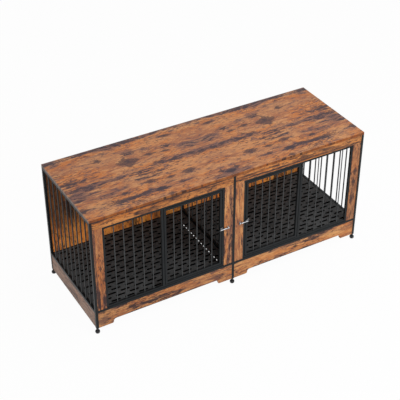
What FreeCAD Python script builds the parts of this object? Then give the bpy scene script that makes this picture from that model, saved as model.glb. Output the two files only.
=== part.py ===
"""Double dog crate: a long low cabinet of printed boards on a welded steel frame.

Two barred bays stand side by side under one top, with a barred divider between them.
Each bay has a fixed barred panel, a barred door on pivot pins and a sliding bolt.
Lengths are millimetres. +X runs along the crate, the doors face -Y and +Z is up.
"""
import FreeCAD, Part
import Sketcher
import os
import re

# Driving dimensions, each a cell of the sheet
SIZES = {
    # Whole crate
    "length": 1800.0,
    "depth": 635.0,
    "height": 785.0,
    # Boards
    "top_thickness": 15.0,
    "board_thickness": 12.0,
    "board_recess": 1.5,
    "stile_width": 57.0,
    "front_rail_height": 53.0,
    "skirt_height": 109.0,
    "toe_length": 94.0,
    "notch_height": 28.0,
    "toe_round": 9.0,
    "cove_round": 18.0,
    # Steel tubes and bars
    "post_width": 15.0,
    "tube_wall": 1.2,
    "grille_tube": 13.0,
    "grille_recess": 2.5,
    "front_bar_diameter": 6.0,
    "side_bar_diameter": 8.0,
    "fixed_bar_pitch": 57.5,
    # Doors and their pivots
    "door_gap": 3.5,
    "pivot_radius": 3.0,
    "pivot_reach": 5.0,
    "plug_length": 20.0,
    "bush_radius": 4.5,
    "bush_flange_radius": 6.0,
    "bush_depth": 7.0,
    "seat_clearance": 0.3,
    "running_clearance": 0.05,
    "plug_clearance": 0.1,
    "stop_height": 50.0,
    "stop_thickness": 2.0,
    "stop_overlap": 9.0,
    "stop_clearance": 0.5,
    # Sliding bolts
    "latch_height": 429.0,
    "bolt_radius": 2.5,
    "bolt_stand": 7.0,
    "bolt_throw": 16.0,
    "bolt_inset": 1.0,
    "barrel_radius": 3.8,
    "barrel_length": 46.0,
    "latch_plate_height": 18.0,
    "latch_plate_thickness": 1.5,
    "saddle_height": 6.0,
    "handle_radius": 1.8,
    "handle_rise": 15.0,
    "handle_bend": 8.0,
    "handle_tip": 3.4,
    "handle_ball_radius": 2.6,
    "handle_inset": 4.0,
    "slot_clearance": 0.5,
    "keeper_gap": 4.0,
    "keeper_width": 8.0,
    "keeper_plate_height": 22.0,
    "keeper_plate_thickness": 1.2,
    "keeper_clearance": 0.6,
    "keeper_wall": 1.3,
    # Floor
    "floor_drop": 2.0,
    "grid_thickness": 3.0,
    "grid_clearance": 2.0,
    "slot_length": 59.0,
    "slot_width": 13.0,
    "slot_pitch": 87.3,
    "row_pitch": 30.65,
    "slot_border": 14.0,
    "sheet_thickness": 2.0,
    "ledge_width": 25.0,
    "tray_depth": 22.0,
    "tray_flange": 12.0,
    "tray_slack": 5.5,
    "tray_clearance": 1.0,
    "support_width": 133.0,
    # Levelling feet
    "foot_height": 34.0,
    "foot_radius": 14.0,
    "foot_ball_drop": 8.0,
    "foot_ball_rise": 8.0,
    "foot_neck_radius": 6.5,
    "foot_stem_radius": 3.0,
    "foot_stem_length": 18.0,
    "insert_length": 24.0,
    "insert_flange": 2.0,
    # Fasteners
    "screw_radius": 2.0,
    "screw_head_radius": 3.5,
    "board_screw_bite": 25.0,
    "top_screw_bite": 10.0,
    "grille_screw_bite": 20.0,
    "keeper_screw_radius": 1.5,
    "keeper_screw_head": 1.2,
    "keeper_screw_bite": 9.0,
    "rail_bolt_radius": 3.0,
    "rail_bolt_head_radius": 4.5,
    "rail_bolt_head": 3.0,
    "bolt_hole_clearance": 0.25,
    "rail_nut_length": 20.0,
    # Cutting tools run this far past what they cut
    "overrun": 1.0,
}

# How many of each bar a frame holds
FIXED_BARS = 5
DOOR_BARS = 6
SIDE_BARS = 9
DIVIDER_BARS = 9
# Where screws stand along the edge they hold
SCREW_SHARES = (0.12, 0.5, 0.88)
BOLT_SHARES = (0.15, 0.85)
KEEPER_SCREW_SHARES = (-0.34, 0.34)
# How far an edge's middle may lie from the corner it is looked for at
CORNER_SLACK = 0.1

# Places worked out from the driving dimensions
PLACES = {
    "latch_proud": "bolt_stand - grille_recess + handle_bend + handle_tip + handle_ball_radius",
    "foot_proud": "foot_radius - post_width / 2",
    "front": "-(depth + foot_proud - latch_proud) / 2",
    "back": "front + depth",
    "half": "length / 2",
    "post_in": "half - post_width",
    "centre_half": "post_width / 2",
    "front_in": "front + post_width",
    "back_in": "back - post_width",
    "rail_low": "foot_height + skirt_height",
    "rail_top": "rail_low + post_width",
    "top_low": "height - top_thickness",
    "board_front": "front + board_recess",
    "board_rear": "board_front + board_thickness",
    "panel_rear": "back - board_recess",
    "panel_front": "panel_rear - board_thickness",
    "wood_low": "top_low - front_rail_height",
    "open_in": "centre_half + stile_width",
    "open_out": "post_in - stile_width",
    "grille_front": "front + grille_recess",
    "grille_rear": "grille_front + grille_tube",
    "grille_mid": "grille_front + grille_tube / 2",
    "sill_top": "rail_top + grille_tube",
    "head_low": "wood_low - grille_tube",
    "fixed_out": "open_out - grille_tube",
    "fixed_in": f"fixed_out - fixed_bar_pitch * {FIXED_BARS + 1}",
    "mullion_in": "fixed_in - grille_tube",
    "door_out": "mullion_in - door_gap",
    "door_in": "open_in + grille_tube + door_gap",
    "door_low": "sill_top + door_gap",
    "door_top": "head_low - door_gap",
    "door_bar_pitch": f"(door_out - door_in - 2 * grille_tube) / {DOOR_BARS + 1}",
    "pivot": "door_out - grille_tube / 2",
    "plug_half": "grille_tube / 2 - tube_wall - plug_clearance",
    "side_bar_pitch": f"(back_in - front_in) / {SIDE_BARS + 1}",
    "divider_half": "grille_tube / 2",
    "divider_bar_pitch": f"(back_in - front_in - 2 * grille_tube) / {DIVIDER_BARS + 1}",
    "bolt_line": "grille_front - bolt_stand",
    "barrel_out": "door_in + grille_tube",
    "barrel_in": "barrel_out - barrel_length",
    "handle_spot": "barrel_out - handle_inset",
    "slot_half": "handle_radius + slot_clearance",
    "keeper_out": "barrel_in - keeper_gap",
    "keeper_in": "keeper_out - keeper_width",
    "keeper_bore": "bolt_radius + keeper_clearance",
    "grid_top": "rail_top - floor_drop",
    "grid_low": "grid_top - grid_thickness",
    "ledge_top": "grid_low - sheet_thickness",
    "ledge_low": "ledge_top - sheet_thickness",
    "floor_front": "front_in + sheet_thickness + grid_clearance",
    "floor_back": "back_in - sheet_thickness - grid_clearance",
    "grid_in": "divider_half + grid_clearance",
    "grid_out": "post_in - grid_clearance",
    "support_half": "support_width / 2",
    "pan_front": "front_in + ledge_width + tray_clearance",
    "pan_back": "back_in - ledge_width - tray_clearance",
    "pan_low": "grid_low - tray_depth",
    "tray_length": "post_in - support_half - tray_slack - tray_clearance",
    "insert_half": "post_width / 2 - tube_wall - plug_clearance",
    "insert_low": "foot_height - insert_flange",
    "foot_top": "insert_low - seat_clearance",
}

X_WAY = FreeCAD.Vector(1, 0, 0)
Y_WAY = FreeCAD.Vector(0, 1, 0)
Z_WAY = FreeCAD.Vector(0, 0, 1)
SIDES = ("left", "right")

doc = FreeCAD.newDocument("DoubleDogCrate")
sheet = doc.addObject("Spreadsheet::Sheet", "Sizes")
for row, (alias, size) in enumerate(SIZES.items(), start=1):
    sheet.set(f"A{row}", alias.replace("_", " "))
    sheet.set(f"B{row}", str(size))
    sheet.setAlias(f"B{row}", alias)
doc.recompute()

sub_parts = {}


def formula(words):
    """Writes a size given in words as an expression on the sheet's cells."""
    def swap(match):
        word = match.group(0)
        if word in PLACES:
            return f"({formula(PLACES[word])})"
        return f"Sizes.{word}" if word in SIZES else word

    return re.sub(r"[a-z]\w*", swap, str(words))


def number(words):
    """Works out a size given in words."""
    return float(sheet.evalExpression(formula(words)))


def bind(piece, prop, words):
    """Ties one property of a piece to the sheet."""
    piece.setExpression(prop, formula(words))


def place(piece, x, y, z):
    """Ties a piece's position to the sheet."""
    for axis, words in zip("xyz", (x, y, z)):
        bind(piece, f"Placement.Base.{axis}", words)


def keep(node, piece):
    """Names a finished sub-part."""
    piece.Label = node
    sub_parts[node] = piece
    return piece


def slab(name, x, y, z):
    """A box between two places on each axis."""
    piece = doc.addObject("Part::Box", name)
    for prop, (low, high) in zip(("Length", "Width", "Height"), (x, y, z)):
        bind(piece, prop, f"({high}) - ({low})")
    place(piece, x[0], y[0], z[0])
    return piece


def rod(name, way, radius, length, x, y, z):
    """A round bar that starts at a place and runs along an axis."""
    piece = doc.addObject("Part::Cylinder", name)
    piece.Placement = FreeCAD.Placement(FreeCAD.Vector(), FreeCAD.Rotation(Z_WAY, way))
    bind(piece, "Radius", radius)
    bind(piece, "Height", length)
    place(piece, x, y, z)
    return piece


def ball(name, radius, x, y, z):
    """A ball about a place."""
    piece = doc.addObject("Part::Sphere", name)
    bind(piece, "Radius", radius)
    place(piece, x, y, z)
    return piece


def fuse(name, pieces):
    """Joins pieces into one solid."""
    if len(pieces) == 1:
        return pieces[0]
    whole = doc.addObject("Part::MultiFuse", name)
    whole.Shapes = pieces
    whole.Refine = True
    return whole


def cut(name, base, tools):
    """Takes tools away from a base."""
    result = doc.addObject("Part::Cut", name)
    result.Base = base
    result.Tool = fuse(f"{name}_tools", tools)
    return result


def group(name, pieces):
    """Holds separate solids of one kind together."""
    whole = doc.addObject("Part::Compound", name)
    whole.Links = pieces
    return whole


def span(side, near, far):
    """X range of what lies between two distances from the crate's middle."""
    if side == "left":
        return f"-({far})", f"-({near})"
    return near, far


def spot(side, distance):
    """X place at a distance from the crate's middle."""
    return f"-({distance})" if side == "left" else distance


def tube(name, x, y, z, along, run=None):
    """A square tube: its outside, and the hollow that is cut from it."""
    outer = slab(name, x, y, z)
    ranges = {}
    for axis, (low, high) in zip("xyz", (x, y, z)):
        ranges[axis] = (f"{low} + tube_wall", f"{high} - tube_wall")
        if axis == along:
            ranges[axis] = run or (f"{low} - overrun", f"{high} + overrun")
    hollow = slab(f"{name}_hollow", ranges["x"], ranges["y"], ranges["z"])
    return outer, hollow


def weld(node, tubes, rods=(), tools=()):
    """A welded frame of tubes and bars, with its hollows and holes cut at the end."""
    solids = [outer for outer, hollow in tubes] + list(rods)
    hollows = [hollow for outer, hollow in tubes] + list(tools)
    return keep(node, cut(f"{node}_welded", fuse(f"{node}_solids", solids), hollows))


def into(low, high):
    """Range of a hollow that runs through the walls it meets at both ends."""
    return f"{low} - tube_wall - overrun", f"{high} + tube_wall + overrun"


def build_top():
    """The top board, flush with the posts."""
    keep("top_panel", slab("top", ("-half", "half"), ("front", "back"), ("top_low", "height")))


def build_side_frame(side):
    """An end of the crate: two posts, two rails and a row of upright bars."""
    name = f"side_frame_{side}"
    x = span(side, "post_in", "half")
    post_z = ("foot_height", "top_low")
    rail_y = ("front_in", "back_in")
    rail_run = into("front_in", "back_in")
    tubes = [
        tube(f"{name}_front_post", x, ("front", "front_in"), post_z, "z"),
        tube(f"{name}_back_post", x, ("back_in", "back"), post_z, "z"),
        tube(f"{name}_low_rail", x, rail_y, ("rail_low", "rail_top"), "y", rail_run),
        tube(f"{name}_top_rail", x, rail_y, ("top_low - post_width", "top_low"), "y", rail_run),
    ]
    bars = []
    for index in range(1, SIDE_BARS + 1):
        bars.append(rod(f"{name}_bar", Z_WAY, "side_bar_diameter / 2", "top_low - post_width - rail_top",
                        spot(side, "half - post_width / 2"), f"front_in + side_bar_pitch * {index}",
                        "rail_top"))
    holes = []
    drill = "tube_wall + 2 * overrun"
    for y in ("front + post_width / 2", "back - post_width / 2"):
        for hole, radius, near in (("bolt_hole", "rail_bolt_radius", "post_in - overrun"),
                                   ("tool_hole", "rail_bolt_head_radius", "half - tube_wall - overrun")):
            holes.append(rod(f"{name}_{hole}", X_WAY, f"{radius} + bolt_hole_clearance", drill,
                             bolt_start(side, near, drill), y, "rail_low + post_width / 2"))
    weld(name, tubes, bars, holes)


def bolt_start(side, near, length):
    """X start of a bar that lies outward from a distance, whichever side it is on."""
    return f"-({near}) - ({length})" if side == "left" else near


def build_centre_posts():
    """The middle posts, drilled for the studs that join the rails on both sides."""
    for end, y in (("front", ("front", "front_in")), ("back", ("back_in", "back"))):
        name = f"centre_post_{end}"
        post = tube(name, ("-centre_half", "centre_half"), y, ("foot_height", "top_low"), "z")
        hole = rod(f"{name}_hole", X_WAY, "rail_bolt_radius + bolt_hole_clearance",
                   "post_width + 2 * overrun", "-centre_half - overrun", f"({y[0]}) + post_width / 2",
                   "rail_low + post_width / 2")
        weld(name, [post], tools=[hole])


def build_divider():
    """The barred panel that stands between the two bays."""
    name = "divider_panel"
    x = ("-divider_half", "divider_half")
    z = ("rail_top", "top_low")
    front_y = ("front_in", "front_in + grille_tube")
    back_y = ("back_in - grille_tube", "back_in")
    rail_y = (front_y[1], back_y[0])
    run = into(*rail_y)
    tubes = [
        tube(f"{name}_front", x, front_y, z, "z"),
        tube(f"{name}_back", x, back_y, z, "z"),
        tube(f"{name}_low", x, rail_y, ("rail_top", "sill_top"), "y", run),
        tube(f"{name}_top", x, rail_y, ("top_low - grille_tube", "top_low"), "y", run),
    ]
    bars = []
    for index in range(1, DIVIDER_BARS + 1):
        bars.append(rod(f"{name}_bar", Z_WAY, "front_bar_diameter / 2", "top_low - grille_tube - sill_top",
                        "0", f"front_in + grille_tube + divider_bar_pitch * {index}", "sill_top"))
    weld(name, tubes, bars)


def build_bottom_rails(side):
    """The long low rails between the posts, front and back."""
    x = span(side, "centre_half", "post_in")
    for end, y in (("front", ("front", "front_in")), ("back", ("back_in", "back"))):
        name = f"bottom_rail_{end}_{side}"
        weld(name, [tube(name, x, y, ("rail_low", "rail_top"), "x")])


def build_grille_frame(side):
    """A bay's front frame: a tube round the opening, a mullion, the fixed bars and a door stop."""
    name = f"grille_frame_{side}"
    y = ("grille_front", "grille_rear")
    z = ("rail_top", "wood_low")
    inner_z = (f"{z[0]} + tube_wall", f"{z[1]} - tube_wall")
    between = span(side, "open_in + grille_tube", "fixed_out")
    tubes = [
        tube(f"{name}_outer", span(side, "fixed_out", "open_out"), y, z, "z", inner_z),
        tube(f"{name}_inner", span(side, "open_in", "open_in + grille_tube"), y, z, "z", inner_z),
        tube(f"{name}_low", between, y, ("rail_top", "sill_top"), "x", into(*between)),
        tube(f"{name}_top", between, y, ("head_low", "wood_low"), "x", into(*between)),
        tube(f"{name}_mullion", span(side, "mullion_in", "fixed_in"), y, ("sill_top", "head_low"), "z",
             into("sill_top", "head_low")),
    ]
    solids = []
    for index in range(1, FIXED_BARS + 1):
        solids.append(rod(f"{name}_bar", Z_WAY, "front_bar_diameter / 2", "head_low - sill_top",
                          spot(side, f"fixed_in + fixed_bar_pitch * {index}"), "grille_mid", "sill_top"))
    stop_z = ("latch_height - stop_height / 2", "latch_height + stop_height / 2")
    finger = ("grille_rear + stop_clearance", "grille_rear + stop_clearance + stop_thickness")
    edge = "open_in + grille_tube"
    solids.append(slab(f"{name}_stop_pad", span(side, "open_in", edge), ("grille_rear", finger[1]), stop_z))
    solids.append(slab(f"{name}_stop", span(side, edge, "door_in + stop_overlap"), finger, stop_z))
    holes = []
    for z_start in ("sill_top - tube_wall - overrun", "head_low - overrun"):
        holes.append(rod(f"{name}_bush_hole", Z_WAY, "bush_radius + running_clearance",
                         "tube_wall + 2 * overrun", spot(side, "pivot"), "grille_mid", z_start))
    weld(name, tubes, solids, holes)


def build_door(side):
    """A door: a tube frame open at the hinge ends, with upright bars."""
    name = f"door_{side}"
    y = ("grille_front", "grille_rear")
    z = ("door_low", "door_top")
    between = span(side, "door_in + grille_tube", "door_out - grille_tube")
    tubes = [
        tube(f"{name}_hinge", span(side, "door_out - grille_tube", "door_out"), y, z, "z"),
        tube(f"{name}_lock", span(side, "door_in", "door_in + grille_tube"), y, z, "z",
             (f"{z[0]} + tube_wall", f"{z[1]} - tube_wall")),
        tube(f"{name}_low", between, y, ("door_low", "door_low + grille_tube"), "x", into(*between)),
        tube(f"{name}_top", between, y, ("door_top - grille_tube", "door_top"), "x", into(*between)),
    ]
    bars = []
    for index in range(1, DOOR_BARS + 1):
        bars.append(rod(f"{name}_bar", Z_WAY, "front_bar_diameter / 2",
                        "door_top - door_low - 2 * grille_tube",
                        spot(side, f"door_in + grille_tube + door_bar_pitch * {index}"), "grille_mid",
                        "door_low + grille_tube"))
    weld(name, tubes, bars)


def build_pivots(side):
    """Pins that turn with the door, on plugs in its hinge tube, and the bushes that hold them."""
    x = spot(side, "pivot")
    plug_x = (f"{x} - plug_half", f"{x} + plug_half")
    plug_y = ("grille_mid - plug_half", "grille_mid + plug_half")
    pin_length = "door_gap + pivot_reach"
    sleeve_length = "bush_depth"
    flange = "door_gap - seat_clearance"
    ends = {
        "lower": (("door_low", "door_low + plug_length"), f"door_low - ({pin_length})",
                  "sill_top - bush_depth", "sill_top", "sill_top - bush_depth - overrun"),
        "upper": (("door_top - plug_length", "door_top"), "door_top", "head_low",
                  f"head_low - ({flange})", f"head_low - ({flange}) - overrun"),
    }
    pins = []
    bushes = []
    for end, (plug_z, pin_z, sleeve_z, flange_z, bore_z) in ends.items():
        label = f"pivot_{end}_{side}"
        plug = slab(f"{label}_plug", plug_x, plug_y, plug_z)
        pin = rod(f"{label}_pin", Z_WAY, "pivot_radius", pin_length, x, "grille_mid", pin_z)
        pins.append(fuse(label, [plug, pin]))
        sleeve = rod(f"{label}_sleeve", Z_WAY, "bush_radius", sleeve_length, x, "grille_mid", sleeve_z)
        collar = rod(f"{label}_collar", Z_WAY, "bush_flange_radius", flange, x, "grille_mid", flange_z)
        bore = rod(f"{label}_bore", Z_WAY, "pivot_radius + running_clearance",
                   f"{sleeve_length} + {flange} + 2 * overrun", x, "grille_mid", bore_z)
        bushes.append(cut(f"{label}_bush", fuse(f"{label}_bush_solids", [sleeve, collar]), [bore]))
    keep(f"door_pivots_{side}", group(f"pivots_{side}", pins))
    keep(f"pivot_bushes_{side}", group(f"bushes_{side}", bushes))


def build_latch(side):
    """The bolt's slotted barrel on the door, the bolt with its bent handle, and the keeper on the stile."""
    half_plate = "latch_plate_height / 2"
    plate_y = ("grille_front - latch_plate_thickness", "grille_front")
    start = span(side, "barrel_in", "barrel_out")[0]
    label = f"latch_barrel_{side}"
    plate = slab(f"{label}_plate", span(side, "door_in", "barrel_out"), plate_y,
                 (f"latch_height - {half_plate}", f"latch_height + {half_plate}"))
    saddle = slab(f"{label}_saddle", span(side, "door_in", "barrel_out"), ("bolt_line", plate_y[0]),
                  ("latch_height - saddle_height / 2", "latch_height + saddle_height / 2"))
    barrel = rod(f"{label}_tube", X_WAY, "barrel_radius", "barrel_length", start, "bolt_line", "latch_height")
    bore = rod(f"{label}_bore", X_WAY, "bolt_radius + running_clearance", "barrel_length + 2 * overrun",
               f"({start}) - overrun", "bolt_line", "latch_height")
    slot = slab(f"{label}_slot",
                span(side, "handle_spot - bolt_throw - slot_half", "handle_spot + slot_half"),
                ("bolt_line - slot_half", "bolt_line + slot_half"),
                ("latch_height", "latch_height + barrel_radius + overrun"))
    keep(label, cut(f"{label}_cut", fuse(f"{label}_solids", [plate, saddle, barrel]), [bore, slot]))

    label = f"bolt_{side}"
    handle_x = spot(side, "handle_spot")
    bend_z = "latch_height + handle_rise"
    shank = rod(f"{label}_shank", X_WAY, "bolt_radius", "barrel_length - 2 * bolt_inset",
                f"({start}) + bolt_inset", "bolt_line", "latch_height")
    stem = rod(f"{label}_stem", Z_WAY, "handle_radius", "handle_rise", handle_x, "bolt_line", "latch_height")
    bend = doc.addObject("Part::Torus", f"{label}_bend")
    bend.Placement = FreeCAD.Placement(FreeCAD.Vector(), FreeCAD.Rotation(Y_WAY, Z_WAY, X_WAY, "XYZ"))
    bend.Angle3 = 90
    bind(bend, "Radius1", "handle_bend")
    bind(bend, "Radius2", "handle_radius")
    place(bend, handle_x, "bolt_line - handle_bend", bend_z)
    tip_y = "bolt_line - handle_bend - handle_tip"
    tip_z = f"{bend_z} + handle_bend"
    tip = rod(f"{label}_tip", Y_WAY, "handle_radius", "handle_tip", handle_x, tip_y, tip_z)
    knob = ball(f"{label}_knob", "handle_ball_radius", handle_x, tip_y, tip_z)
    keep(label, fuse(f"{label}_solids", [shank, stem, bend, tip, knob]))

    label = f"keeper_{side}"
    x = span(side, "keeper_in", "keeper_out")
    base = slab(f"{label}_plate", x, ("board_front - keeper_plate_thickness", "board_front"),
                ("latch_height - keeper_plate_height / 2", "latch_height + keeper_plate_height / 2"))
    legs = slab(f"{label}_legs", x, ("bolt_line", "board_front - keeper_plate_thickness"),
                ("latch_height - keeper_bore - keeper_wall", "latch_height + keeper_bore + keeper_wall"))
    hoop = rod(f"{label}_hoop", X_WAY, "keeper_bore + keeper_wall", "keeper_width", x[0], "bolt_line",
               "latch_height")
    bore = rod(f"{label}_bore", X_WAY, "keeper_bore", "keeper_width + 2 * overrun", f"({x[0]}) - overrun",
               "bolt_line", "latch_height")
    keep(label, cut(f"{label}_cut", fuse(f"{label}_solids", [base, legs, hoop]), [bore]))


def build_surround(side):
    """The boards round a bay's opening: two stiles and the rail over them."""
    y = ("board_front", "board_rear")
    stile_z = ("rail_top", "wood_low")
    keep(f"stile_outer_{side}", slab(f"outer_{side}", span(side, "open_out", "post_in"), y, stile_z))
    keep(f"stile_inner_{side}", slab(f"inner_{side}", span(side, "centre_half", "open_in"), y, stile_z))
    keep(f"front_rail_{side}", slab(f"rail_{side}", span(side, "centre_half", "post_in"), y,
                                    ("wood_low", "top_low")))


def notch_edges(shape, corners):
    """Names of the edges that run through the board at given corners."""
    names = []
    for index, edge in enumerate(shape.Edges, start=1):
        middle = edge.CenterOfMass
        for x, z in corners:
            if abs(middle.x - x) + abs(middle.z - z) < CORNER_SLACK:
                names.append(f"Edge{index}")
    return names


def build_front_skirt(side):
    """The board under a bay, cut away between two toes with a rounded step at each end."""
    node = f"front_skirt_{side}"
    body = doc.addObject("PartDesign::Body", f"{node}_body")
    sketch = body.newObject("Sketcher::SketchObject", f"{node}_outline")
    plane = [item for item in body.Origin.OriginFeatures if item.Role == "XZ_Plane"][0]
    sketch.AttachmentSupport = (plane, [""])
    sketch.MapMode = "FlatFace"
    wide = number("post_in - centre_half")
    high = number("skirt_height")
    toe = number("toe_length")
    notch = number("notch_height")
    corners = [(0, 0), (toe, 0), (toe, notch), (wide - toe, notch), (wide - toe, 0), (wide, 0),
               (wide, high), (0, high)]
    points = [FreeCAD.Vector(x, z, 0) for x, z in corners]
    count = len(points)
    for index in range(count):
        sketch.addGeometry(Part.LineSegment(points[index], points[(index + 1) % count]), False)
    for index in range(count):
        sketch.addConstraint(Sketcher.Constraint("Coincident", index, 2, (index + 1) % count, 1))
        sketch.addConstraint(Sketcher.Constraint("Vertical" if index % 2 else "Horizontal", index))
    sketch.addConstraint(Sketcher.Constraint("Coincident", 0, 1, -1, 1))
    sketch.addConstraint(Sketcher.Constraint("PointOnObject", 4, 1, -1))
    drives = [
        ("toe", Sketcher.Constraint("DistanceX", 0, 1, 0, 2, toe), "toe_length"),
        ("far_toe", Sketcher.Constraint("DistanceX", 4, 1, 4, 2, toe), "toe_length"),
        ("notch", Sketcher.Constraint("DistanceY", 1, 1, 1, 2, notch), "notch_height"),
        ("wide", Sketcher.Constraint("DistanceX", 0, 1, 4, 2, wide), "post_in - centre_half"),
        ("high", Sketcher.Constraint("DistanceY", 5, 1, 5, 2, high), "skirt_height"),
    ]
    for name, constraint, words in drives:
        sketch.renameConstraint(sketch.addConstraint(constraint), name)
        bind(sketch, f"Constraints.{name}", words)
    pad = body.newObject("PartDesign::Pad", f"{node}_pad")
    pad.Profile = sketch
    pad.Reversed = True
    bind(pad, "Length", "board_thickness")
    place(body, span(side, "centre_half", "post_in")[0], "board_front", "foot_height")
    doc.recompute()
    last = pad
    for word, picked in (("toe_round", (corners[1], corners[4])), ("cove_round", (corners[2], corners[3]))):
        rounding = body.newObject("PartDesign::Fillet", f"{node}_{word}")
        rounding.Base = (last, notch_edges(last.Shape, picked))
        bind(rounding, "Radius", word)
        doc.recompute()
        last = rounding
    keep(node, body)


def build_plain_boards(side):
    """The plain end skirt, and the skirt and panel at the back of a bay."""
    post_x = span(side, "half - board_recess - board_thickness", "half - board_recess")
    bay_x = span(side, "centre_half", "post_in")
    skirt_z = ("foot_height", "rail_low")
    panel_y = ("panel_front", "panel_rear")
    keep(f"side_skirt_{side}", slab(f"end_skirt_{side}", post_x, ("front_in", "back_in"), skirt_z))
    keep(f"back_skirt_{side}", slab(f"rear_skirt_{side}", bay_x, panel_y, skirt_z))
    keep(f"back_panel_{side}", slab(f"rear_panel_{side}", bay_x, panel_y, ("rail_top", "top_low")))


def build_floor_frame():
    """Angle ledges along the long rails, and the flat support across the middle."""
    x = ("-post_in", "post_in")
    flat_z = ("ledge_low", "ledge_top")
    rise_z = ("ledge_low", "grid_top")
    ledges = {
        "front": (("front_in", "front_in + ledge_width"), ("front_in", "front_in + sheet_thickness")),
        "back": (("back_in - ledge_width", "back_in"), ("back_in - sheet_thickness", "back_in")),
    }
    for end, (flat_y, rise_y) in ledges.items():
        flat = slab(f"ledge_{end}_flat", x, flat_y, flat_z)
        rise = slab(f"ledge_{end}_rise", x, rise_y, rise_z)
        keep(f"floor_ledge_{end}", fuse(f"ledge_{end}", [flat, rise]))
    keep("floor_support", slab("support", ("-support_half", "support_half"),
                               ("front_in + sheet_thickness + tray_clearance",
                                "back_in - sheet_thickness - tray_clearance"), ("ledge_top", "grid_low")))


def build_drip_tray(side):
    """A shallow pan that hangs from the ledges: a floor sheet, and an angle strip along each edge."""
    name = f"drip_tray_{side}"
    low_x = "-post_in + tray_clearance" if side == "left" else "support_half + tray_clearance"
    high_x = f"{low_x} + tray_length"
    low_y = "front_in + sheet_thickness + tray_clearance"
    high_y = "back_in - sheet_thickness - tray_clearance"
    pan_x = (f"{low_x} + tray_flange", f"{high_x} - tray_flange")
    pan_y = ("pan_front", "pan_back")
    inside_x = (f"{pan_x[0]} + sheet_thickness", f"{pan_x[1]} - sheet_thickness")
    inside_y = (f"{pan_y[0]} + sheet_thickness", f"{pan_y[1]} - sheet_thickness")
    wall_z = ("pan_low + sheet_thickness", "grid_low")
    flange_z = ("ledge_top", "grid_low")
    strips = {
        "front": ((pan_x, (pan_y[0], inside_y[0])), ((low_x, high_x), (low_y, inside_y[0]))),
        "back": ((pan_x, (inside_y[1], pan_y[1])), ((low_x, high_x), (inside_y[1], high_y))),
        "left": (((pan_x[0], inside_x[0]), inside_y), ((low_x, inside_x[0]), inside_y)),
        "right": (((inside_x[1], pan_x[1]), inside_y), ((inside_x[1], high_x), inside_y)),
    }
    pieces = [slab(f"{name}_sheet", pan_x, pan_y, ("pan_low", "pan_low + sheet_thickness"))]
    for edge, (wall, flange) in strips.items():
        upright = slab(f"{name}_{edge}_wall", *wall, wall_z)
        hook = slab(f"{name}_{edge}_flange", *flange, flange_z)
        pieces.append(fuse(f"{name}_{edge}_strip", [upright, hook]))
    keep(name, group(f"{name}_pan", pieces))


def rectangle(low_x, low_y, high_x, high_y):
    """A closed outline with square corners."""
    corners = [(low_x, low_y), (high_x, low_y), (high_x, high_y), (low_x, high_y), (low_x, low_y)]
    return Part.makePolygon([FreeCAD.Vector(x, y, 0) for x, y in corners])


def round_slot(low_x, low_y, long, wide):
    """A closed outline with straight sides and half-round ends."""
    bend = wide / 2
    near, far = low_x + bend, low_x + long - bend
    mid_y, high_y = low_y + bend, low_y + wide
    places = [(far, low_y), (low_x + long, mid_y), (far, high_y), (near, high_y), (low_x, mid_y), (near, low_y)]
    points = [FreeCAD.Vector(x, y, 0) for x, y in places]
    right_end = Part.Arc(*points[:3]).toShape()
    left_end = Part.Arc(*points[3:]).toShape()
    top_side = Part.makeLine(points[2], points[3])
    low_side = Part.makeLine(points[5], points[0])
    return Part.Wire([low_side, right_end, top_side, left_end])


def build_floor_grid(side):
    """The slotted sheet that the dog stands on, its rows of slots laid like bricks."""
    wide = number("grid_out - grid_in")
    deep = number("floor_back - floor_front")
    border = number("slot_border")
    slot_long = number("slot_length")
    slot_wide = number("slot_width")
    pitch = number("slot_pitch")
    row_pitch = number("row_pitch")
    rows = int((deep - 2 * border - slot_wide) // row_pitch) + 1
    first_row = (deep - (rows - 1) * row_pitch - slot_wide) / 2
    full_row = int((wide - 2 * border - slot_long) // pitch) + 1
    outlines = [rectangle(0, 0, wide, deep)]
    for row in range(rows):
        low_y = first_row + row * row_pitch
        slots = full_row - row % 2
        first_slot = (wide - (slots - 1) * pitch - slot_long) / 2
        for slot in range(slots):
            outlines.append(round_slot(first_slot + slot * pitch, low_y, slot_long, slot_wide))
    sheet_face = Part.Face(outlines, "Part::FaceMakerBullseye")
    grid = doc.addObject("Part::Feature", f"grid_{side}")
    grid.Shape = sheet_face.extrude(FreeCAD.Vector(0, 0, number("grid_thickness")))
    place(grid, span(side, "grid_in", "grid_out")[0], "floor_front", "grid_low")
    keep(f"floor_grid_{side}", grid)


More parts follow.
